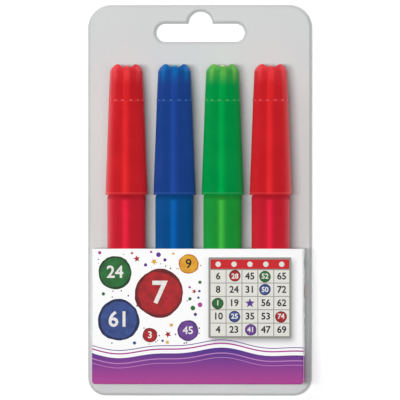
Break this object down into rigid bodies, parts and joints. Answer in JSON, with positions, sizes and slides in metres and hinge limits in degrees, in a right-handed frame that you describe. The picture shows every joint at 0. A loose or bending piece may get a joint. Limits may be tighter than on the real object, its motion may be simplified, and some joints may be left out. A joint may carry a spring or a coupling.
{
  "type": "bingo dauber pack",
  "caption": "Hang pack of slim fibre-tip bingo daubers: push-on caps, barrels with nib, holder, reservoir and plug, in a moulded tray with a folded card pocket.",
  "frame": {"origin": "centre of the tray's back face, on the surface the pack lies on", "axes": "+X across the pack, +Y along the pens towards their caps and the hang slot, +Z out of the front"},
  "size_m": [0.08, 0.1396, 0.018],
  "materials": {
    "tray_plastic": "satin light grey thermoformed sheet",
    "card_board": null,
    "holder_white": "satin white polypropylene",
    "wrap_film": "clear film",
    "cap_red": "satin moulded plastic",
    "barrel_red": "slightly translucent moulded plastic",
    "nib_red": "inked bonded fibre",
    "ink_red": "inked fibre bundle",
    "cap_blue": "satin moulded plastic",
    "barrel_blue": "slightly translucent moulded plastic",
    "nib_blue": "inked bonded fibre",
    "ink_blue": "inked fibre bundle",
    "cap_green": "satin moulded plastic",
    "barrel_green": "slightly translucent moulded plastic",
    "nib_green": "inked bonded fibre",
    "ink_green": "inked fibre bundle"
  },
  "bodies": {
    "tray": {"tray": "tray_plastic", "printed_card": "card_board"},
    "pen1": {"pen1_barrel": "barrel_red", "pen1_nib_holder": "holder_white", "pen1_nib": "nib_red", "pen1_ink_reservoir": "ink_red", "pen1_reservoir_wrap": "wrap_film", "pen1_end_plug": "cap_red"},
    "pen1_cap": {"pen1_cap": "cap_red"},
    "pen2": {"pen2_barrel": "barrel_blue", "pen2_nib_holder": "holder_white", "pen2_nib": "nib_blue", "pen2_ink_reservoir": "ink_blue", "pen2_reservoir_wrap": "wrap_film", "pen2_end_plug": "cap_blue"},
    "pen2_cap": {"pen2_cap": "cap_blue"},
    "pen3": {"pen3_barrel": "barrel_green", "pen3_nib_holder": "holder_white", "pen3_nib": "nib_green", "pen3_ink_reservoir": "ink_green", "pen3_reservoir_wrap": "wrap_film", "pen3_end_plug": "cap_green"},
    "pen3_cap": {"pen3_cap": "cap_green"},
    "pen4": {"pen4_barrel": "barrel_red", "pen4_nib_holder": "holder_white", "pen4_nib": "nib_red", "pen4_ink_reservoir": "ink_red", "pen4_reservoir_wrap": "wrap_film", "pen4_end_plug": "cap_red"},
    "pen4_cap": {"pen4_cap": "cap_red"}
  },
  "joints": [
    {"name": "pen1_draw", "type": "slide", "parent": "tray", "child": "pen1", "axis": [0, 1, 0], "range_m": [0, 0.055]},
    {"name": "pen1_cap_pull", "type": "slide", "parent": "pen1", "child": "pen1_cap", "axis": [0, 1, 0], "range_m": [0, 0.045]},
    {"name": "pen2_draw", "type": "slide", "parent": "tray", "child": "pen2", "axis": [0, 1, 0], "range_m": [0, 0.055]},
    {"name": "pen2_cap_pull", "type": "slide", "parent": "pen2", "child": "pen2_cap", "axis": [0, 1, 0], "range_m": [0, 0.045]},
    {"name": "pen3_draw", "type": "slide", "parent": "tray", "child": "pen3", "axis": [0, 1, 0], "range_m": [0, 0.055]},
    {"name": "pen3_cap_pull", "type": "slide", "parent": "pen3", "child": "pen3_cap", "axis": [0, 1, 0], "range_m": [0, 0.045]},
    {"name": "pen4_draw", "type": "slide", "parent": "tray", "child": "pen4", "axis": [0, 1, 0], "range_m": [0, 0.055]},
    {"name": "pen4_cap_pull", "type": "slide", "parent": "pen4", "child": "pen4_cap", "axis": [0, 1, 0], "range_m": [0, 0.045]}
  ]
}
